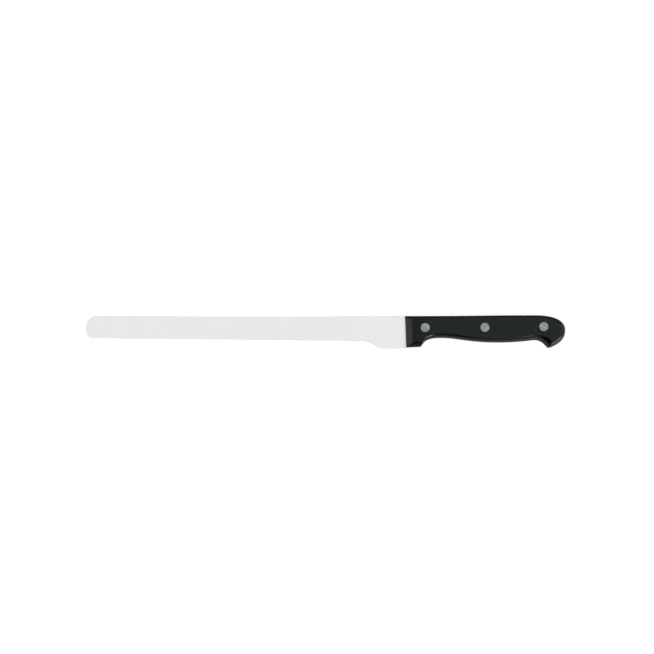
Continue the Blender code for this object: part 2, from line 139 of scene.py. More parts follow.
# Edge rounding of a scale: its width on the flat side and its height on the edge
BACK_ROUND = (0.0013, 0.0013)
END_ROUND = (0.0032, 0.0038)
HOOK_REAR_ROUND = 0.0038
HOOK_INNER_ROUND = 0.0062
HOOK_ROUND_HEIGHT = 0.0052
NECK_ROUND = (0.0040, 0.0052)
BELLY_ROUND = (0.0032, 0.0048)
RECESS_ROUND = (0.0038, 0.0052)
GUARD_INNER_ROUND = 0.0024
GUARD_LOWER_ROUND = 0.0044
GUARD_ROUND_HEIGHT = 0.0048
ROUND_FULLNESS = 1.5
BELLY_FULLNESS = 1.2
NECK_FULLNESS = 1.1
ROUND_RINGS = 18
SEAM_ROUND = 0.00012
SEAM_RINGS = 3
SEAM_GAP = 0.00002
CREST_MARGIN = 0.00025

# The ramp at a scale's front, and how softly it runs into the rounding beside it
RAMP_RUN = 0.0077
RAMP_DROP = 0.0034
RAMP_CURVE = 1.35
RAMP_SOFTNESS = 0.0004
FRONT_ROUND = 0.0004
FRONT_STEPS = 5
RAMP_STEP = 0.00025

# The rounding of the ramp's edge at the handle's back: its width, and how deep its facets are cut
RAMP_BACK_WIDTH = 0.0028
RAMP_BACK_CUTS = (0.0018, 0.0021, 0.0024, 0.0027)

# Rivets, whose places come from the frame
HEAD_THICKNESS = 0.0015
HEAD_ROUND = 0.00015
SHANK_RADIUS = 0.0024
BORE_RADIUS = 0.0018
BORE_FLOOR = 0.0005
PIN_RADIUS = 0.0017
PIN_LENGTH = 0.0130
RIVET_GAP = 0.00003
RIVET_SIDES = 96
HEAD_RINGS = 6

# How finely the outlines are drawn
OUTLINE_STEP = 0.0007
SCALE_STEP = 0.0004
TURN_STEP = 3.0
WELD_DISTANCE = 1e-6
STRAIGHT_WITHIN = 0.5
MITRE_LIMIT = 0.5
SHARP_ANGLE = math.radians(45.0)

# Headings, in degrees: the outlines run clockwise, seen from the left side of the knife
BACKWARD = 0.0
UP = 90.0
FORWARD = 180.0
DOWN = -90.0

# What follows from the sizes above
HANDLE_FRONT = SCALE_LOW.x + FRONT_SLANT / 2
HANDLE_LENGTH = SCALE_HIGH.x - HANDLE_FRONT
BLADE_LENGTH = HANDLE_FRONT - BLADE_LOW.x
PLACE = Vector((HANDLE_FRONT, BLADE_LOW.y + HEEL_DEPTH, (cad_low.z + cad_high.z) / 2))
RAMP_TOP = -HEEL_LENGTH - RAMP_LENGTH
PLUNGE_START = RAMP_TOP - PLUNGE_LENGTH
EDGE_END = -BLADE_LENGTH + TIP_EDGE_LENGTH
SPINE_END = -BLADE_LENGTH + TIP_BACK_LENGTH

# The camera: the photograph's field at the knife, and the point at its middle
FIELD = 0.5111
FIELD_CENTRE = (0.0012, 0.0037)
LENS = 500.0
SENSOR = 36.0
FLOOR_SIZE = 60.0
FLOOR_DROP = 0.00002


# Outlines


class Knot(NamedTuple):
    """A point of an outline, with headings, pulls and insets of the line before and after it.

    An inset is how far the flat side of a scale stays from the line, and the fall is how far the
    line lies below that flat side. The fullness of the rounding between them is 1 for a straight
    slope and 2 for an ellipse. The crest is the edge of the flat side, and has pulls of its own if
    they are given.
    """

    x: float
    y: float
    arriving: float
    leaving: float
    pulls: tuple = (EDGE_PULL, EDGE_PULL)
    radius: float = 0.0
    insets: tuple = (0.0, 0.0)
    fall: float = 0.0
    fullness: float = ROUND_FULLNESS
    crest_pulls: tuple = ()

    def place(self):
        return Vector((self.x, self.y))


def curve_knot(x, y, heading, pulls, edge_round=(0.0, 0.0), **others):
    """A knot that the line passes without a corner."""
    width, height = edge_round
    return Knot(x, y, heading, heading, pulls, insets=(width, width), fall=height, **others)


def direction(heading):
    return Vector((math.cos(math.radians(heading)), math.sin(math.radians(heading))))


def to_the_right(heading):
    return direction(heading - 90.0)


def turning(first, second):
    """The angle between two headings."""
    return abs((second - first + 180.0) % 360.0 - 180.0)


def inset_point(knot):
    """Where the lines before and after the knot meet, once each has moved in by its inset."""
    before, after = to_the_right(knot.arriving), to_the_right(knot.leaving)
    inset_in, inset_out = knot.insets
    across = before.x * after.y - before.y * after.x
    if turning(knot.arriving, knot.leaving) < STRAIGHT_WITHIN:
        return knot.place() + before * inset_in
    shift_x = inset_in * after.y - inset_out * before.y
    shift_y = inset_out * before.x - inset_in * after.x
    return knot.place() + Vector((shift_x, shift_y)) / across


def rounded(knot):
    """The knot itself, or the two ends of the arc that rounds its corner."""
    if not knot.radius:
        return [knot]
    turn = math.radians(turning(knot.arriving, knot.leaving))
    reach = knot.radius * math.tan(turn / 2)
    chord = 2 * knot.radius * math.sin(turn / 2)
    pull = 4 / 3 * math.tan(turn / 4) * knot.radius / chord
    start = knot.place() - direction(knot.arriving) * reach
    end = knot.place() + direction(knot.leaving) * reach
    before, after = knot.pulls
    return [
        knot._replace(x=start.x, y=start.y, leaving=knot.arriving, pulls=(before, pull)),
        knot._replace(x=end.x, y=end.y, arriving=knot.leaving, pulls=(pull, after)),
    ]


def pairs(items):
    """Each item with the next one, and the last with the first."""
    return zip(items, items[1:] + items[:1])


def segment_steps(start, end, longest):
    """How many straight steps a segment is drawn with, by its length and by how much it bends."""
    chord = end.place() - start.place()
    bearing = math.degrees(math.atan2(chord.y, chord.x))
    bend = turning(start.leaving, bearing) + turning(bearing, end.arriving)
    return math.ceil(max(chord.length / longest, bend / TURN_STEP))


def segment_points(start, end, leaving, arriving, pulls, steps):
    """The points along one Bezier segment, without its last one."""
    chord = (end - start).length
    handle_out = start + direction(leaving) * chord * pulls[0]
    handle_in = end - direction(arriving) * chord * pulls[1]
    return interpolate_bezier(start, handle_out, handle_in, end, steps + 1)[:-1]


def pulls_at(knot, inset):
    """The pulls of the outline at a knot, or those of the crest."""
    return knot.crest_pulls if inset and knot.crest_pulls else knot.pulls


def rounding_between(start, end, share):
    """The fall and the fullness of the edge rounding, a share of the way between two knots."""
    fall = start.fall + (end.fall - start.fall) * share
    return fall, start.fullness + (end.fullness - start.fullness) * share


def outline(knots, longest, inset=False):
    """The points of a closed outline, or of the crest inside it, and their roundings."""
    points, roundings = [], []
    drawn = [(part, knot) for knot in knots for part in rounded(knot)]
    for (start, start_knot), (end, end_knot) in pairs(drawn):
        ends = (start.place(), end.place())
        if inset:
            ends = (inset_point(start_knot), inset_point(end_knot))
        steps = segment_steps(start, end, longest)
        pulls = (pulls_at(start, inset)[1], pulls_at(end, inset)[0])
        points += segment_points(*ends, start.leaving, end.arriving, pulls, steps)
        roundings += [rounding_between(start, end, step / steps) for step in range(steps)]
    return points, roundings


def next_apart(points, here, step):
    """The next point along the line, forwards or backwards, that doesn't coincide with this one."""
    place = here
    while (points[place] - points[here]).length < WELD_DISTANCE:
        place = (place + step) % len(points)
    return points[place]


def moved_in(points, distance):
    """A closed clockwise line moved in by a distance."""
    inner = []
    for place, here in enumerate(points):
        first = (here - next_apart(points, place, -1)).normalized()
        second = (next_apart(points, place, 1) - here).normalized()
        normal = Vector((first.y + second.y, -first.x - second.x)).normalized()
        mitre = max(MITRE_LIMIT, normal.x * first.y - normal.y * first.x)
        inner.append(here + normal * distance / mitre)
    return inner


def guard_heading():
    """The heading of the guard's lower edge, which falls a little towards the blade."""
    return math.degrees(math.atan2(-GUARD_SLOPE, FRONT_SLANT / 2 - GUARD_LENGTH))


def grip_knots():
    """The handle's outline behind its front: back, end, hook, neck, belly, recess and guard."""
    hook = Knot(
        x=HANDLE_LENGTH - HOOK_FROM_END,
        y=-HOOK_DEPTH,
        arriving=HOOK_ARRIVING,
        leaving=HOOK_LEAVING,
        pulls=HOOK_PULLS,
        radius=HOOK_RADIUS,
        insets=(HOOK_REAR_ROUND, HOOK_INNER_ROUND),
        fall=HOOK_ROUND_HEIGHT,
    )
    guard = Knot(
        x=GUARD_LENGTH,
        y=GUARD_SLOPE - GUARD_DEPTH,
        arriving=GUARD_ARRIVING,
        leaving=guard_heading(),
        pulls=GUARD_PULLS,
        radius=GUARD_RADIUS,
        insets=(GUARD_INNER_ROUND, GUARD_LOWER_ROUND),
        fall=GUARD_ROUND_HEIGHT,
    )
    neck = curve_knot(
        HANDLE_LENGTH - NECK_FROM_END,
        -NECK_DEPTH,
        FORWARD,
        NECK_PULLS,
        NECK_ROUND,
        crest_pulls=NECK_CREST_PULLS,
        fullness=NECK_FULLNESS,
    )
    belly = curve_knot(
        BELLY_FROM_FRONT,
        -BELLY_DEPTH,
        FORWARD,
        BELLY_PULLS,
        BELLY_ROUND,
        fullness=BELLY_FULLNESS,
    )
    return [
        curve_knot(HANDLE_LENGTH - BACK_FROM_END, BACK_RISE, BACKWARD, BACK_PULLS, BACK_ROUND),
        curve_knot(HANDLE_LENGTH, -END_DEPTH, DOWN, END_PULLS, END_ROUND),
        hook,
        neck,
        belly,
        curve_knot(RECESS_FROM_FRONT, -RECESS_DEPTH, FORWARD, RECESS_PULLS, RECESS_ROUND),
        guard,
    ]


def scale_knots():
    """The handle's outline with its front, which leans forward at the back."""
    lean = math.degrees(math.atan2(GUARD_DEPTH, -FRONT_SLANT))
    back_width, back_height = BACK_ROUND
    back_corner = Knot(
        x=-FRONT_SLANT / 2,
        y=0.0,
        arriving=lean,
        leaving=BACKWARD,
        pulls=(EDGE_PULL, BACK_CORNER_PULL),
        insets=(0.0, back_width),
        fall=back_height,
    )
    lower_corner = Knot(
        x=FRONT_SLANT / 2,
        y=-GUARD_DEPTH,
        arriving=guard_heading(),
        leaving=lean,
        insets=(GUARD_LOWER_ROUND, 0.0),
        fall=GUARD_ROUND_HEIGHT,
    )
    return [back_corner, *grip_knots(), lower_corner]


def blade_knots():
    """The outline of blade and tang in one: tip, spine, grip, heel, ramp and cutting edge."""
    drop = HEEL_EDGE_DEPTH - TIP_EDGE_DEPTH
    edge_heading = FORWARD - math.degrees(math.atan2(drop, RAMP_TOP - EDGE_END))
    spine_pulls = (SPINE_PULL, SPINE_PULL)
    foot = Knot(
        x=-HEEL_LENGTH,
        y=-HEEL_DEPTH,
        arriving=FORWARD,
        leaving=FORWARD - RAMP_ANGLE,
        pulls=(EDGE_PULL, RAMP_PULL),
        radius=HEEL_RADIUS,
    )
    return [
        curve_knot(-BLADE_LENGTH, -TIP_DEPTH, UP, (ELLIPSE_PULL, ELLIPSE_PULL)),
        curve_knot(SPINE_END, 0.0, BACKWARD, (ELLIPSE_PULL, SPINE_PULL)),
        curve_knot(-SPINE_DIP_LENGTH, -SPINE_DIP, BACKWARD, spine_pulls),
        curve_knot(-SPINE_FLAT_LENGTH, 0.0, BACKWARD, spine_pulls),
        *grip_knots(),
        Knot(FRONT_SLANT / 2, -GUARD_DEPTH, guard_heading(), DOWN),
        Knot(FRONT_SLANT / 2, -HEEL_DEPTH, DOWN, FORWARD),
        foot,
        curve_knot(RAMP_TOP, -HEEL_EDGE_DEPTH, edge_heading, (EDGE_PULL, EDGE_PULL)),
        Knot(EDGE_END, -TIP_EDGE_DEPTH, edge_heading, FORWARD, pulls=(EDGE_PULL, ELLIPSE_PULL)),
    ]


# Meshes


def loft(bm, rings):
    """Faces between rings of points, which all have as many points, with both ends closed."""
    loops = [[bm.verts.new(point) for point in ring] for ring in rings]
    for lower, upper in zip(loops, loops[1:]):
        for (a, b), (c, d) in zip(pairs(lower), pairs(upper)):
            bm.faces.new((a, b, d, c))
    bm.faces.new(reversed(loops[0]))
    bm.faces.new(loops[-1])


def score(bm, faces, point, normal):
    """Edges across the faces along a plane through the point."""
    parts = list({part for face in faces for part in (face, *face.edges, *face.verts)})
    bmesh.ops.bisect_plane(bm, geom=parts, dist=WELD_DISTANCE, plane_co=point, plane_no=normal)


def new_object(name, bm):
    """An object that holds the mesh and shows in the scene."""
    mesh = bpy.data.meshes.new(name)
    bm.to_mesh(mesh)
    bm.free()
    obj = bpy.data.objects.new(name, mesh)
    bpy.context.scene.collection.objects.link(obj)
    return obj


def settled(obj):
    """The object with its modifiers made part of its mesh."""
    graph = bpy.context.evaluated_depsgraph_get()
    mesh = bpy.data.meshes.new_from_object(obj.evaluated_get(graph))
    obj.modifiers.clear()
    obj.data = mesh
    return obj


# Nodes


def feed(group, node, inputs):
    """Sets a node's inputs to values, or to the sockets that feed them."""
    for socket, value in inputs.items():
        if isinstance(value, bpy.types.NodeSocket):
            group.links.new(value, node.inputs[socket])
        else:
            node.inputs[socket].default_value = value


def put(group, kind, inputs=None, **settings):
    """A new node with its settings and its inputs."""
    node = group.nodes.new(kind)
    for name, value in settings.items():
        setattr(node, name, value)
    feed(group, node, inputs or {})
    return node


def reckon(group, operation, *values):
    """The result of a math node."""
    return put(group, "ShaderNodeMath", dict(enumerate(values)), operation=operation).outputs[0]


def ranged(group, value, low, high, to_low=0.0, to_high=1.0, kind="LINEAR", clamp=True):
    """The value moved from one range to another."""
    inputs = {
        "Value": value,
        "From Min": low,
        "From Max": high,
        "To Min": to_low,
        "To Max": to_high,
    }
    node = put(group, "ShaderNodeMapRange", inputs, interpolation_type=kind, clamp=clamp)
    return node.outputs["Result"]


def shape_tree(name, sizes):
    """A geometry tree with a mesh, the named sizes and a material as its inputs."""
    tree = bpy.data.node_groups.new(name, "GeometryNodeTree")
    tree.interface.new_socket("Mesh", in_out="INPUT", socket_type="NodeSocketGeometry")
    for size, kind in sizes.items():
        tree.interface.new_socket(size, in_out="INPUT", socket_type="NodeSocket" + kind)
    tree.interface.new_socket("Material", in_out="INPUT", socket_type="NodeSocketMaterial")
    tree.interface.new_socket("Mesh", in_out="OUTPUT", socket_type="NodeSocketGeometry")
    given = put(tree, "NodeGroupInput").outputs
    return tree, given


def finish_tree(tree, mesh, given):
    """Ends a geometry tree in one real mesh that carries its material."""
    real = put(tree, "GeometryNodeRealizeInstances", {"Geometry": mesh}).outputs[0]
    made = put(tree, "GeometryNodeSetMaterial", {"Geometry": real, "Material": given["Material"]})
    put(tree, "NodeGroupOutput", {"Mesh": made.outputs[0]})


def shaped(obj, tree, sizes, material):
    """The object with the tree's shape made part of its mesh."""
    modifier = obj.modifiers.new(tree.name, "NODES")
    modifier.node_group = tree
    values = {**sizes, "Material": material}
    for item in tree.interface.items_tree:
        if item.in_out == "INPUT" and item.name in values:
            modifier[item.identifier] = values[item.name]
    return settled(obj)


def smoothed(obj):
    """The object shaded smooth between its sharp edges, with its flat faces kept flat."""
    obj.data.shade_smooth()
    obj.data.set_sharp_from_angle(angle=SHARP_ANGLE)
    weighted = obj.modifiers.new("flat faces stay flat", "WEIGHTED_NORMAL")
    weighted.keep_sharp = True
    return settled(obj)


def cut_holes(obj, holes):
    """The object with every hole cut through it."""
    for hole in holes:
        boolean = obj.modifiers.new("cut by " + hole.name, "BOOLEAN")
        boolean.operation = "DIFFERENCE"
        boolean.object = hole
    return settled(obj)


# Scales


def seam_rings(edge):
    """The little rounding of a scale's edge at the tang, from its seat outwards."""
    seat = HALF_TANG + SEAM_GAP
    for step in range(SEAM_RINGS + 1):
        angle = math.radians(90.0) * step / SEAM_RINGS
        ring = moved_in(edge, SEAM_ROUND * (1 - math.sin(angle)))
        height = seat + SEAM_ROUND * (1 - math.cos(angle))
        yield [Vector((point.x, point.y, height)) for point in ring]


def rounding_point(inner, outer, rounding, angle):
    """The point at an angle from 0 to 90 degrees on the curve that rounds a scale's edge."""
    fall, fullness = rounding
    out = max(0.0, math.cos(math.radians(angle))) ** (2 / fullness)
    rise = max(0.0, math.sin(math.radians(angle))) ** (2 / fullness)
    place = inner.lerp(outer, out)
    return Vector((place.x, place.y, HALF_HANDLE - fall * (1 - rise)))


def round_rings(edge, crest, roundings):
    """The moulded rounding of a scale, from its wall up to its flat side."""
    for ring in range(ROUND_RINGS + 1):
        angle = 90.0 * ring / ROUND_RINGS
        yield [rounding_point(*line, angle) for line in zip(crest, edge, roundings)]


def behind_front(x, y):
    """How far a point lies behind the slanted front of the handle, along X."""
    return x + FRONT_SLANT / 2 + FRONT_SLANT * y / GUARD_DEPTH


def ramp_height(run):
    """The height of the front ramp, with its own front edge rounded."""
    left = max(0.0, 1 - run / RAMP_RUN)
    height = HALF_HANDLE - RAMP_DROP * left**RAMP_CURVE
    if run < FRONT_ROUND:
        out = 1 - max(0.0, run) / FRONT_ROUND
        height -= FRONT_ROUND * (1 - math.sqrt(1 - out * out))
    return height


def back_fall(run, from_back):
    """How far the rounding at the handle's back, wider towards the front, lies below the ramp."""
    narrow, height = BACK_ROUND
    width = narrow + (RAMP_BACK_WIDTH - narrow) * max(0.0, 1 - run / RAMP_RUN)
    out = min(1.0, max(0.0, 1 - from_back / width))
    return height * (1 - (1 - out**ROUND_FULLNESS) ** (1 / ROUND_FULLNESS))


def lower_of(height, other, softness):
    """The lower of two heights, with the crease between them filled in a little."""
    if softness < WELD_DISTANCE:
        return min(height, other)
    near = max(0.0, softness - abs(height - other)) / softness
    return min(height, other) - near * near * softness / 4


def press_ramp(bm):
    """Lowers the front of a scale to its ramp."""
    turns = [math.radians(90.0) * step / FRONT_STEPS for step in range(1, FRONT_STEPS)]
    front_cuts = [FRONT_ROUND * (1 - math.cos(turn)) for turn in turns]
    ramp_steps = int(RAMP_RUN / RAMP_STEP) + 1
    ramp_cuts = [FRONT_ROUND + RAMP_STEP * step for step in range(ramp_steps)]
    across = (1.0, FRONT_SLANT / GUARD_DEPTH, 0.0)
    for run in front_cuts + ramp_cuts:
        score(bm, bm.faces, (run - FRONT_SLANT / 2, 0.0, 0.0), across)
    for depth in RAMP_BACK_CUTS:
        centres = {face: face.calc_center_median().xy for face in bm.faces}
        front = [face for face, centre in centres.items() if behind_front(*centre) < RAMP_RUN]
        score(bm, front, (0.0, -depth, 0.0), (0.0, 1.0, 0.0))
    for vert in bm.verts:
        run = behind_front(vert.co.x, vert.co.y)
        if run < RAMP_RUN and vert.co.z > HALF_TANG + 2 * SEAM_ROUND:
            below = back_fall(run, -vert.co.y)
            softness = 0.0 if below else min(RAMP_SOFTNESS, HALF_HANDLE - vert.co.z)
            vert.co.z = lower_of(vert.co.z, ramp_height(run) - below, softness)
    bmesh.ops.remove_doubles(bm, verts=bm.verts[:], dist=WELD_DISTANCE)


def moulded_scale():
    """One scale of the handle, from its seat on the tang to its flat side, without its holes."""
    edge, roundings = outline(scale_knots(), SCALE_STEP)
    crest, _ = outline(scale_knots(), SCALE_STEP, inset=True)
    inner = moved_in(crest, CREST_MARGIN)
    flat = [Vector((point.x, point.y, HALF_HANDLE)) for point in inner]
    bm = bmesh.new()
    loft(bm, [*seam_rings(edge), *round_rings(edge, crest, roundings), flat])
    bmesh.ops.remove_doubles(bm, verts=bm.verts[:], dist=WELD_DISTANCE)
    press_ramp(bm)
    bmesh.ops.recalc_face_normals(bm, faces=bm.faces[:])
    return bm


def mirrored(bm):
    """The same shape on the other side of the blade."""
    for vert in bm.verts:
        vert.co.z = -vert.co.z
    bmesh.ops.reverse_faces(bm, faces=bm.faces[:])
    return bm


# Blade


def edge_depth(x):
    """How deep the cutting edge lies at x, on its straight line from ramp to tip."""
    change = TIP_EDGE_DEPTH - HEEL_EDGE_DEPTH
    return HEEL_EDGE_DEPTH + change * (x - RAMP_TOP) / (EDGE_END - RAMP_TOP)


def rim_rings(points):
    """The rim of a slab with its edges rounded, where a height is a share of half its thickness."""
    lower = [(RIM_ROUND + RIM_MARGIN, -1.0)]
    for step in range(RIM_RINGS + 1):
        angle = math.radians(90.0) * step / RIM_RINGS
        share = -1.0 + RIM_SHARE * (1 - math.cos(angle))
        lower.append((RIM_ROUND * (1 - math.sin(angle)), share))
    upper = [(inset, -share) for inset, share in reversed(lower)]
    for inset, share in lower + upper:
        yield [Vector((point.x, point.y, share)) for point in moved_in(points, inset)]


def blade_blank():
    """Blade and tang as one slab from -1 to 1, with edges across it wherever the grind bends."""
    points, _ = outline(blade_knots(), OUTLINE_STEP)
    bm = bmesh.new()
    loft(bm, rim_rings(points))
    bmesh.ops.recalc_face_normals(bm, faces=bm.faces[:])
    ground_length = BLADE_LENGTH + PLUNGE_START
    strips = math.ceil(ground_length / GRIND_STEP)
    cuts = [-BLADE_LENGTH + ground_length * strip / strips for strip in range(1, strips + 1)]
    plunge_cuts = math.ceil(PLUNGE_LENGTH / PLUNGE_STEP)
    cuts += [PLUNGE_START + PLUNGE_LENGTH * cut / plunge_cuts for cut in range(1, plunge_cuts + 1)]
    for x in cuts:
        score(bm, bm.faces, (x, 0.0, 0.0), (1.0, 0.0, 0.0))
    shoulder = [(x, BEVEL_HEIGHT - edge_depth(x), 0.0) for x in (-BLADE_LENGTH, RAMP_TOP)]
    tip, ramp = map(Vector, shoulder)
    run = ramp - tip
    ground = [face for face in bm.faces if face.calc_center_median().x < RAMP_TOP]
    score(bm, ground, tip, (-run.y, run.x, 0.0))
    return bm


def blade_sizes():
    return {
        "Tang Thickness": 2 * HALF_TANG,
        "Tip Thickness": TIP_THICKNESS,
        "Shoulder Thickness": SHOULDER_THICKNESS,
        "Edge Thickness": EDGE_THICKNESS,
        "Bevel Height": BEVEL_HEIGHT,
        "Blade Length": BLADE_LENGTH,
        "Plunge Start": PLUNGE_START,
        "Plunge Length": PLUNGE_LENGTH,
        "Ramp Top": RAMP_TOP,
        "Heel Edge Depth": HEEL_EDGE_DEPTH,
        "Edge End": EDGE_END,
        "Tip Edge Depth": TIP_EDGE_DEPTH,
    }


def grind_tree():
    """Grinds a slab into a blade: a flat grind from spine to shoulder, then the edge bevel."""
    tree, given = shape_tree("ground_blade", dict.fromkeys(blade_sizes(), "Float"))
    place = put(tree, "GeometryNodeInputPosition").outputs[0]
    x, y, share = put(tree, "ShaderNodeSeparateXYZ", {"Vector": place}).outputs
    depth = reckon(tree, "MULTIPLY", y, -1.0)
    tang = reckon(tree, "DIVIDE", given["Tang Thickness"], 2.0)
    tip = reckon(tree, "DIVIDE", given["Tip Thickness"], 2.0)
    shoulder = reckon(tree, "DIVIDE", given["Shoulder Thickness"], 2.0)
    edge = reckon(tree, "DIVIDE", given["Edge Thickness"], 2.0)
    blade_end = reckon(tree, "MULTIPLY", given["Blade Length"], -1.0)
    spine = ranged(tree, x, given["Plunge Start"], blade_end, tang, tip)
    edge_line = ranged(
        tree,
        x,
        given["Ramp Top"],
        given["Edge End"],
        given["Heel Edge Depth"],
        given["Tip Edge Depth"],
        clamp=False,
    )
    shoulder_line = reckon(tree, "SUBTRACT", edge_line, given["Bevel Height"])
    flat = ranged(tree, depth, 0.0, shoulder_line, spine, shoulder)
    ground_off = reckon(tree, "SUBTRACT", shoulder, edge)
    bevel = ranged(tree, depth, shoulder_line, edge_line, 0.0, ground_off)
    ground = reckon(tree, "SUBTRACT", flat, bevel)
    plunge_end = reckon(tree, "ADD", given["Plunge Start"], given["Plunge Length"])
    plunge = ranged(tree, x, given["Plunge Start"], plunge_end, kind="SMOOTHSTEP")
    left = reckon(tree, "MULTIPLY", reckon(tree, "SUBTRACT", tang, ground), plunge)
    height = reckon(tree, "MULTIPLY", share, reckon(tree, "ADD", ground, left))
    position = put(tree, "ShaderNodeCombineXYZ", {"X": x, "Y": y, "Z": height}).outputs[0]
    above_edge = reckon(tree, "SUBTRACT", edge_line, depth)
    marked = put(
        tree,
        "GeometryNodeStoreNamedAttribute",
        {"Geometry": given["Mesh"], "Name": "above_edge", "Value": above_edge},
        data_type="FLOAT",
        domain="POINT",
    )
    moved = {"Geometry": marked.outputs[0], "Position": position}
    mesh = put(tree, "GeometryNodeSetPosition", moved)
    finish_tree(tree, mesh.outputs[0], given)
    return tree


# Rivets


def arc(centre_radius, centre_height, radius, start, end, steps):
    """Points of a turned profile along an arc, with its angles measured up from the radius."""
    for step in range(steps + 1):
        angle = math.radians(start + (end - start) * step / steps)
        yield centre_radius + radius * math.cos(angle), centre_height + radius * math.sin(angle)


def head_profile(face):
    """The top of a rivet's head from its middle out, and down its side."""
    inner = HEAD_RADIUS - HEAD_ROUND
    rounding = arc(inner, face - HEAD_ROUND, HEAD_ROUND, 90.0, 0.0, HEAD_RINGS)
    top = [(0.0, face), (inner / 2, face), (inner - HEAD_ROUND, face)]
    return [*top, *rounding, (HEAD_RADIUS, face - HEAD_THICKNESS)]


def pin_profile():
    """The pin half of a rivet: its head lies in the left scale, and its pin in the socket."""
    seat = HALF_HANDLE - HEAD_THICKNESS
    end = HALF_HANDLE - PIN_LENGTH
    return [*head_profile(HALF_HANDLE), (PIN_RADIUS, seat), (PIN_RADIUS, end), (0.0, end)]


def socket_profile():
    """The socket half of a rivet, drawn head up: a bored shank with its head in the right scale."""
    seat = HALF_HANDLE - HEAD_THICKNESS
    mouth = RIVET_GAP - seat
    floor = seat - BORE_FLOOR
    return [
        *head_profile(HALF_HANDLE),
        (SHANK_RADIUS, seat),
        (SHANK_RADIUS, mouth),
        (BORE_RADIUS, mouth),
        (BORE_RADIUS, floor),
        (0.0, floor),
    ]


def hole_profile():
    """The hole through scales and tang, with a seat for a head at each end."""
    end = HALF_HANDLE + HEAD_THICKNESS
    seat = HALF_HANDLE - HEAD_THICKNESS - RIVET_GAP
    wide, narrow = HEAD_RADIUS + RIVET_GAP, SHANK_RADIUS + RIVET_GAP
    upper = [(0.0, end), (wide, end), (wide, seat), (narrow, seat)]
    return upper + [(radius, -height) for radius, height in reversed(upper)]


def turning_tree():
    """Turns a line of points round Z into a closed mesh."""
    sizes = {"Points": "Int", "Sides": "Int", "Middle": "Vector", "Turn Over": "Float"}
    tree, given = shape_tree("turned", sizes)
    seam = reckon(tree, "ADD", given["Sides"], 1.0)
    grid = put(tree, "GeometryNodeMeshGrid", {"Vertices X": given["Points"], "Vertices Y": seam})
    index = put(tree, "GeometryNodeInputIndex").outputs[0]
    along = reckon(tree, "FLOOR", reckon(tree, "DIVIDE", reckon(tree, "ADD", index, 0.5), seam))
    around = reckon(tree, "SUBTRACT", index, reckon(tree, "MULTIPLY", along, seam))
    angle = reckon(tree, "MULTIPLY", around, reckon(tree, "DIVIDE", 2 * math.pi, given["Sides"]))
    line = put(tree, "GeometryNodeInputPosition").outputs[0]
    sample = put(
        tree,
        "GeometryNodeSampleIndex",
        {"Geometry": given["Mesh"], "Value": line, "Index": along},
        data_type="FLOAT_VECTOR",
        domain="POINT",
    )
    radius, _, height = put(tree, "ShaderNodeSeparateXYZ", {"Vector": sample.outputs[0]}).outputs
    place = {
        "X": reckon(tree, "MULTIPLY", radius, reckon(tree, "COSINE", angle)),
        "Y": reckon(tree, "MULTIPLY", radius, reckon(tree, "SINE", angle)),
        "Z": height,
    }
    position = put(tree, "ShaderNodeCombineXYZ", place).outputs[0]
    moved = {"Geometry": grid.outputs["Mesh"], "Position": position}
    turned = put(tree, "GeometryNodeSetPosition", moved)
    doubled = {"Geometry": turned.outputs[0], "Distance": WELD_DISTANCE}
    merged = put(tree, "GeometryNodeMergeByDistance", doubled)
    over = put(tree, "ShaderNodeCombineXYZ", {"X": given["Turn Over"]}).outputs[0]
    inputs = {"Geometry": merged.outputs[0], "Translation": given["Middle"], "Rotation": over}
    placed = put(tree, "GeometryNodeTransform", inputs)
    finish_tree(tree, placed.outputs[0], given)
    return tree


def turned_object(name, profile, tree, middle, material, over=False):
    """A piece turned from its profile, at its place in the handle."""
    mesh = bpy.data.meshes.new(name)
    points = [(radius, 0.0, height) for radius, height in profile]
    mesh.from_pydata(points, [(i, i + 1) for i in range(len(points) - 1)], [])
    obj = bpy.data.objects.new(name, mesh)
    bpy.context.scene.collection.objects.link(obj)
    sizes = {
        "Points": len(profile),
        "Sides": RIVET_SIDES,
        "Middle": middle,
        "Turn Over": math.pi if over else 0.0,
    }
    return outward(shaped(obj, tree, sizes, material))


def outward(obj):
    """The object with every face turned outwards."""
    bm = bmesh.new()
    bm.from_mesh(obj.data)
    bmesh.ops.recalc_face_normals(bm, faces=bm.faces[:])
    bm.to_mesh(obj.data)
    bm.free()
    return obj


# Materials

# Noises: how many spots they have per metre along X, Y and Z, and how rough they are
STEEL_LINES = (5200.0, 70.0, 70.0)
STEEL_BANDS = (1500.0, 25.0, 25.0)
STEEL_CLOUDS = (70.0, 40.0, 40.0)
FINE_GRAIN = (2600.0, 2600.0, 2600.0)
COARSE_GRAIN = (750.0, 750.0, 750.0)
RUB_MARKS = (110.0, 1100.0, 1100.0)
RIVET_STROKES = (160.0, 1500.0, 160.0)
RIVET_LINES = (260.0, 5200.0, 260.0)
NOISE_ROUGHNESS = 0.55
# How far the strokes on the rivets are turned, in degrees
RIVET_SLANT = 35.0

# The span of a noise over which a colour or a roughness goes from its one end to the other
WIDE_SPAN = (0.25, 0.75)
PLAIN_SPAN = (0.3, 0.7)
EDGE_SPAN = (0.35, 0.65)
GROUND_SPAN = (0.38, 0.62)
RIVET_SPAN = (0.40, 0.60)
WEAR_SPAN = (0.58, 0.75)

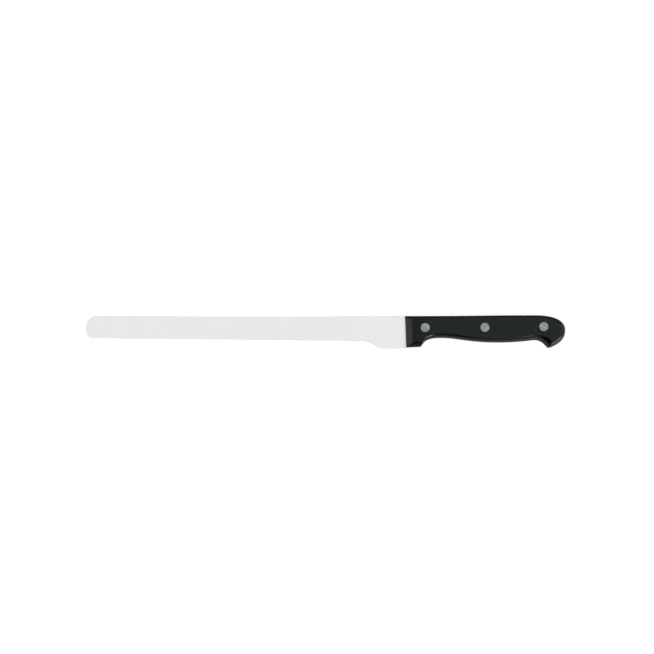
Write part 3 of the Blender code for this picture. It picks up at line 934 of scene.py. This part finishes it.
# Colours, some of them as the two ends between which a noise moves
STEEL_COLOURS = ((0.838, 0.846, 0.862, 1.0), (0.854, 0.862, 0.878, 1.0))
BEVEL_COLOUR = (0.826, 0.838, 0.851, 1.0)
SIDE_COLOUR = (0.0016, 0.0018, 0.0019, 1.0)
FLAT_COLOURS = ((0.0009, 0.0027, 0.0027, 1.0), (0.0104, 0.0157, 0.0164, 1.0))
WORN_COLOUR = (0.018, 0.022, 0.022, 1.0)
# Painted light: the lower walls of the scales are lightened as if lit by the pale floor and the
# lamps
PAINTED_WALL_LIGHT_COLOURS = ((0.013, 0.014, 0.015, 1.0), (0.021, 0.022, 0.023, 1.0))
# Painted lamp light: the end of the handle is made lighter, as if lit from its lower right
PAINTED_END_LIGHT_COLOUR = (0.033, 0.034, 0.034, 1.0)
RIVET_COLOURS = ((0.240, 0.245, 0.249, 1.0), (0.418, 0.423, 0.430, 1.0))
FLOOR_COLOUR = (0.97, 0.97, 0.97, 1.0)
WHITE = (1.0, 1.0, 1.0, 1.0)

# Roughness: its two ends, how much less it is on the bevel, and how much more on the flats
STEEL_ROUGHNESS = (0.27, 0.37)
BEVEL_SMOOTHER = 0.05
PLASTIC_ROUGHNESS = (0.17, 0.23)
FLAT_ROUGHER = 0.55
RIVET_ROUGHNESS = (0.34, 0.48)
# How strongly the plastic mirrors
PLASTIC_SPECULAR = 0.19

# Bumps: their height in metres, and their strength
STEEL_BUMP = (0.000003, 0.35)
FINE_BUMP = (0.00002, 0.2)
COARSE_BUMP = (0.00003, 0.1)
RIVET_BUMP = (0.000004, 0.5)

# How strongly the bevel takes its own colour, over which share of its height that fades at the
# shoulder, and over which length at the heel's ramp
BEVEL_SHARE = 0.8
BEVEL_FADE = 0.04
BEVEL_END_FADE = 0.001

# How far up a face looks where it begins to count as flat, and where it does so fully
FLAT_FROM = (0.985, 0.999)
# How grey the flat is in front, where no hand rubs it, and how strongly the rubbed marks show
FRONT_GREY = 0.35
WEAR_SHARE = 0.3
# Where the hand begins to rub the handle and the painted light on its lower walls begins, and where
# both are full, along the knife
RUBBED_AND_WALL_LIT = (SCALE_LOW.x + 0.008, SCALE_LOW.x + 0.022)
# How far below its flat side a scale's wall begins to take painted light, and where it takes it
# fully
PAINTED_WALL_LIGHT_DEPTHS = (0.0018, 0.0023)
# Where the painted lamp light on the handle's end begins, and where it is full, along the knife
PAINTED_END_LIGHT_SPAN = (SCALE_HIGH.x - 0.0122, SCALE_HIGH.x - 0.0075)
# How much nearer the flat side the painted light begins there
PAINTED_END_LIGHT_REACH = 0.0008


def new_material(name):
    """A material with its node tree and its main shader."""
    material = bpy.data.materials.new(name)
    material.use_nodes = True
    tree = material.node_tree
    return material, tree, tree.nodes["Principled BSDF"]


def spots(tree, stretch, detail=2.0, turn=0.0):
    """Noise from 0 to 1 over the object, with its number of spots per metre along X, Y and Z."""
    place = put(tree, "ShaderNodeTexCoord").outputs["Object"]
    if turn:
        turned = {"Vector": place, "Rotation": (0.0, 0.0, math.radians(turn))}
        place = put(tree, "ShaderNodeMapping", turned).outputs[0]
    stretched = put(tree, "ShaderNodeMapping", {"Vector": place, "Scale": stretch}).outputs[0]
    inputs = {"Vector": stretched, "Scale": 1.0, "Detail": detail, "Roughness": NOISE_ROUGHNESS}
    return put(tree, "ShaderNodeTexNoise", inputs).outputs["Fac"]


def blended(tree, first, second, share):
    """Two noises in one, of which the first makes up a share."""
    rest = reckon(tree, "MULTIPLY", second, 1.0 - share)
    return reckon(tree, "ADD", reckon(tree, "MULTIPLY", first, share), rest)


def mixed(tree, share, first, second):
    """A colour between two others."""
    inputs = {"Factor": share, 6: first, 7: second}
    return put(tree, "ShaderNodeMix", inputs, data_type="RGBA").outputs[2]


def bumped(tree, height, distance, strength=1.0, under=None):
    """A normal bent by a height from 0 to 1 that stands for a distance in metres."""
    inputs = {"Height": height, "Distance": distance, "Strength": strength}
    if under:
        inputs["Normal"] = under
    return put(tree, "ShaderNodeBump", inputs).outputs[0]


def ground_steel():
    """Satin blade steel, ground across the blade, with a finer grind on the edge bevel."""
    material, tree, shader = new_material("ground_steel")
    lines = spots(tree, STEEL_LINES, detail=3.0)
    bands = spots(tree, STEEL_BANDS)
    clouds = spots(tree, STEEL_CLOUDS)
    coordinates = put(tree, "ShaderNodeTexCoord").outputs["Object"]
    along, _, _ = put(tree, "ShaderNodeSeparateXYZ", {"Vector": coordinates}).outputs
    bevel_end = HANDLE_FRONT + RAMP_TOP
    before_ramp = ranged(tree, along, bevel_end, bevel_end - BEVEL_END_FADE)
    above_edge = put(tree, "ShaderNodeAttribute", attribute_name="above_edge").outputs["Fac"]
    fade = [BEVEL_HEIGHT * (1 + BEVEL_FADE), BEVEL_HEIGHT * (1 - BEVEL_FADE)]
    bevel = reckon(tree, "MULTIPLY", before_ramp, ranged(tree, above_edge, *fade))
    tone = blended(tree, bands, clouds, share=0.5)
    face = mixed(tree, ranged(tree, tone, *PLAIN_SPAN), *STEEL_COLOURS)
    grain = ranged(tree, lines, *WIDE_SPAN, *STEEL_ROUGHNESS)
    smoother = reckon(tree, "MULTIPLY", bevel, BEVEL_SMOOTHER)
    inputs = {
        "Base Color": mixed(tree, reckon(tree, "MULTIPLY", bevel, BEVEL_SHARE), face, BEVEL_COLOUR),
        "Metallic": 1.0,
        "Roughness": reckon(tree, "SUBTRACT", grain, smoother),
        "Normal": bumped(tree, lines, *STEEL_BUMP),
    }
    feed(tree, shader, inputs)
    return material


def moulded_plastic():
    """Black moulded plastic: glossy on the roundings, greyer where the flats were ground, with
    painted light on the lower walls and the end.
    """
    material, tree, shader = new_material("moulded_plastic")
    fine = spots(tree, FINE_GRAIN)
    coarse = spots(tree, COARSE_GRAIN, detail=3.0)
    rubbed = spots(tree, RUB_MARKS, detail=3.0)
    coordinates = put(tree, "ShaderNodeTexCoord").outputs["Object"]
    along, _, height = put(tree, "ShaderNodeSeparateXYZ", {"Vector": coordinates}).outputs
    normal = put(tree, "ShaderNodeNewGeometry").outputs["Normal"]
    _, _, up = put(tree, "ShaderNodeSeparateXYZ", {"Vector": normal}).outputs
    flat = ranged(tree, reckon(tree, "ABSOLUTE", up), *FLAT_FROM, kind="SMOOTHSTEP")
    rubbed_and_wall_lit = ranged(tree, along, *RUBBED_AND_WALL_LIT, kind="SMOOTHSTEP")
    tone = blended(tree, coarse, fine, share=0.75)
    ground = mixed(tree, ranged(tree, tone, *GROUND_SPAN), *FLAT_COLOURS)
    wear = reckon(tree, "MULTIPLY", ranged(tree, rubbed, *WEAR_SPAN), WEAR_SHARE)
    worn = mixed(tree, reckon(tree, "MULTIPLY", wear, rubbed_and_wall_lit), ground, WORN_COLOUR)
    greyed = reckon(tree, "MULTIPLY", flat, ranged(tree, rubbed_and_wall_lit, 0.0, 1.0, FRONT_GREY, 1.0))
    # The handle's end gets brighter painted light, which stands for the lamp at its lower right
    at_end = ranged(tree, along, *PAINTED_END_LIGHT_SPAN, kind="SMOOTHSTEP")
    from_middle = reckon(tree, "ABSOLUTE", reckon(tree, "SUBTRACT", height, PLACE.z))
    drop = reckon(tree, "MULTIPLY", at_end, PAINTED_END_LIGHT_REACH)
    out = reckon(tree, "SUBTRACT", from_middle, drop)
    # The lower walls get painted light, which stands for the pale floor and the lamps that light
    # them
    painted_wall_light_depths = [HALF_HANDLE - depth for depth in PAINTED_WALL_LIGHT_DEPTHS]
    edge = reckon(tree, "MULTIPLY", ranged(tree, out, *painted_wall_light_depths, kind="SMOOTHSTEP"), rubbed_and_wall_lit)
    painted_wall_light = mixed(tree, ranged(tree, tone, *EDGE_SPAN), *PAINTED_WALL_LIGHT_COLOURS)
    sides = mixed(tree, edge, SIDE_COLOUR, mixed(tree, at_end, painted_wall_light, PAINTED_END_LIGHT_COLOUR))
    smooth = ranged(tree, fine, *PLAIN_SPAN, *PLASTIC_ROUGHNESS)
    rougher = reckon(tree, "MULTIPLY", flat, FLAT_ROUGHER)
    inputs = {
        "Base Color": mixed(tree, greyed, sides, worn),
        "Specular IOR Level": PLASTIC_SPECULAR,
        "Roughness": reckon(tree, "ADD", smooth, rougher),
        "Normal": bumped(tree, fine, *FINE_BUMP, bumped(tree, coarse, *COARSE_BUMP)),
    }
    feed(tree, shader, inputs)
    return material


def brushed_rivet():
    """Grey rivet metal, ground flush with the handle in slanting strokes."""
    material, tree, shader = new_material("brushed_rivet")
    strokes = spots(tree, RIVET_STROKES, turn=RIVET_SLANT)
    lines = spots(tree, RIVET_LINES, detail=3.0, turn=RIVET_SLANT)
    tone = blended(tree, strokes, lines, share=0.7)
    inputs = {
        "Base Color": mixed(tree, ranged(tree, tone, *RIVET_SPAN), *RIVET_COLOURS),
        "Metallic": 1.0,
        "Roughness": ranged(tree, lines, *PLAIN_SPAN, *RIVET_ROUGHNESS),
        "Normal": bumped(tree, lines, *RIVET_BUMP),
    }
    feed(tree, shader, inputs)
    return material


# Studio

# How bright the studio is overhead and at its walls, and the elevations where it changes
PALE = 1.04
WALL = 0.45
WALL_RISE = (38.0, 74.0)

# The dark side: how bright it is, where it lies, and how far round it is full and then faded
DARK = 0.05
DARK_AZIMUTH = 246.0
DARK_ELEVATION = 36.0
DARK_REACH = (27.0, 36.0)

# The floor's own glow: its share, and how bright it is where it is seen and where it is mirrored
FLOOR_SHARE = 0.85
FLOOR_SEEN = 1.06
FLOOR_MIRRORED = 0.50

# The lamps round the knife: name, place, width and height, and power in watts
SOFTBOXES = (
    ("front_softbox", (-1.055, 0.05, 0.715), (0.9, 0.7), 4.4),
    ("rear_softbox", (0.82, -1.02, 0.40), (1.15, 0.75), 22.5),
    ("end_softbox", (1.12, 0.16, 0.68), (1.0, 0.8), 4.5),
)


def aimed(azimuth, elevation):
    """The direction with this azimuth from +X and this elevation."""
    turn, rise = math.radians(azimuth), math.radians(elevation)
    level = math.cos(rise)
    return Vector((math.cos(turn) * level, math.sin(turn) * level, math.sin(rise)))


def pale_world():
    """A pale studio, brightest overhead, with one dark side towards the handle's lower front."""
    world = bpy.data.worlds.new("pale_studio")
    world.use_nodes = True
    tree = world.node_tree
    seen = put(tree, "ShaderNodeTexCoord").outputs["Generated"]
    _, _, rise = put(tree, "ShaderNodeSeparateXYZ", {"Vector": seen}).outputs
    low, high = (math.sin(math.radians(height)) for height in WALL_RISE)
    walls = ranged(tree, rise, low, high, WALL, PALE, "SMOOTHSTEP")
    inputs = {0: seen, 1: aimed(DARK_AZIMUTH, DARK_ELEVATION)}
    toward = put(tree, "ShaderNodeVectorMath", inputs, operation="DOT_PRODUCT").outputs["Value"]
    full, faded = (math.cos(math.radians(reach)) for reach in DARK_REACH)
    darkened = ranged(tree, toward, faded, full, 1.0, DARK, "SMOOTHSTEP")
    lit = reckon(tree, "MULTIPLY", walls, darkened)
    to_camera = put(tree, "ShaderNodeLightPath").outputs["Is Camera Ray"]
    strength = reckon(tree, "MAXIMUM", lit, to_camera)
    feed(tree, tree.nodes["Background"], {"Color": WHITE, "Strength": strength})
    bpy.context.scene.world = world


def flag(pieces):
    """A studio flag: the lamps that are given it keep their light off these pieces."""
    spared = bpy.data.collections.new("flagged_off")
    for piece in pieces:
        spared.objects.link(piece)
    for member in spared.collection_objects:
        member.light_linking.link_state = "EXCLUDE"
    return spared


def softbox(name, place, size, power, flagged_off):
    """A soft rectangular lamp that faces the knife, with some pieces flagged off from it."""
    lamp = bpy.data.lights.new(name, "AREA")
    lamp.shape = "RECTANGLE"
    lamp.size, lamp.size_y = size
    lamp.energy = power
    obj = bpy.data.objects.new(name, lamp)
    obj.location = place
    obj.rotation_euler = Vector(place).to_track_quat("Z", "Y").to_euler()
    obj.light_linking.receiver_collection = flagged_off
    bpy.context.scene.collection.objects.link(obj)


def pale_floor():
    """A plain floor that looks white and still takes the knife's shadow."""
    bm = bmesh.new()
    bmesh.ops.create_grid(bm, x_segments=1, y_segments=1, size=FLOOR_SIZE / 2)
    for vert in bm.verts:
        vert.co.z = -FLOOR_DROP
    floor = new_object("floor", bm)
    material, tree, shader = new_material("white_floor")
    feed(tree, shader, {"Base Color": FLOOR_COLOUR, "Roughness": 1.0, "Specular IOR Level": 0.0})
    rays = put(tree, "ShaderNodeLightPath").outputs
    straight = reckon(tree, "MAXIMUM", rays["Is Camera Ray"], rays["Is Glossy Ray"])
    straight = reckon(tree, "MAXIMUM", straight, rays["Is Transmission Ray"])
    strength = ranged(tree, rays["Is Camera Ray"], 0.0, 1.0, FLOOR_MIRRORED, FLOOR_SEEN)
    glow = put(tree, "ShaderNodeEmission", {"Color": WHITE, "Strength": strength}).outputs[0]
    share = reckon(tree, "MULTIPLY", straight, FLOOR_SHARE)
    layers = {0: share, 1: shader.outputs[0], 2: glow}
    surface = put(tree, "ShaderNodeMixShader", layers).outputs[0]
    tree.links.new(surface, tree.nodes["Material Output"].inputs["Surface"])
    floor.data.materials.append(material)


def camera_above():
    """The camera straight above the knife, with the photograph's field at the blade."""
    camera = bpy.data.cameras.new("camera")
    camera.lens = LENS
    camera.sensor_width = SENSOR
    obj = bpy.data.objects.new("camera", camera)
    obj.location = (*FIELD_CENTRE, PLACE.z + FIELD * LENS / SENSOR)
    bpy.context.scene.collection.objects.link(obj)
    bpy.context.scene.camera = obj


# The knife


def placed(bm):
    """The shape moved from the handle's own frame to its place in the scene."""
    bmesh.ops.translate(bm, verts=bm.verts[:], vec=PLACE)
    return bm


def enter(obj, slot, *nodes):
    """Puts a finished piece in for the nodes that it stands for."""
    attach(obj, "root")
    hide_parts(*nodes)


def main():
    steel, plastic, rivet_metal = ground_steel(), moulded_plastic(), brushed_rivet()
    turned, ground = turning_tree(), grind_tree()
    holes, metal = [], []
    for which in ("front", "middle", "rear"):
        low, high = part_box(which + "_rivet_pin")
        middle = Vector(((low.x + high.x) / 2, (low.y + high.y) / 2, PLACE.z))
        pin = turned_object(which + "_pin", pin_profile(), turned, middle, rivet_metal)
        profile = socket_profile()
        socket = turned_object(which + "_socket", profile, turned, middle, rivet_metal, over=True)
        for piece, half in ((pin, "_rivet_pin"), (socket, "_rivet_socket")):
            metal.append(smoothed(piece))
            enter(metal[-1], "rivet_metal", which + half)
        holes.append(turned_object(which + "_hole", hole_profile(), turned, middle, plastic))

    blank = new_object("ground_blade", blade_blank())
    blade = shaped(blank, ground, blade_sizes(), steel)
    blade.data.transform(Matrix.Translation(PLACE))
    metal.append(smoothed(cut_holes(blade, holes)))
    enter(metal[-1], "blade_steel", "blade")
    for side, shape in (("left", moulded_scale()), ("right", mirrored(moulded_scale()))):
        scale = new_object(side + "_grip", placed(shape))
        scale.data.materials.append(plastic)
        enter(smoothed(cut_holes(scale, holes)), "handle_plastic", side + "_scale")
    for hole in holes:
        bpy.data.objects.remove(hole)

    bpy.context.scene.view_settings.view_transform = "Standard"
    pale_world()
    off_the_metal = flag(metal)
    for name, place, size, power in SOFTBOXES:
        softbox(name, place, size, power, off_the_metal)
    pale_floor()
    camera_above()


main()
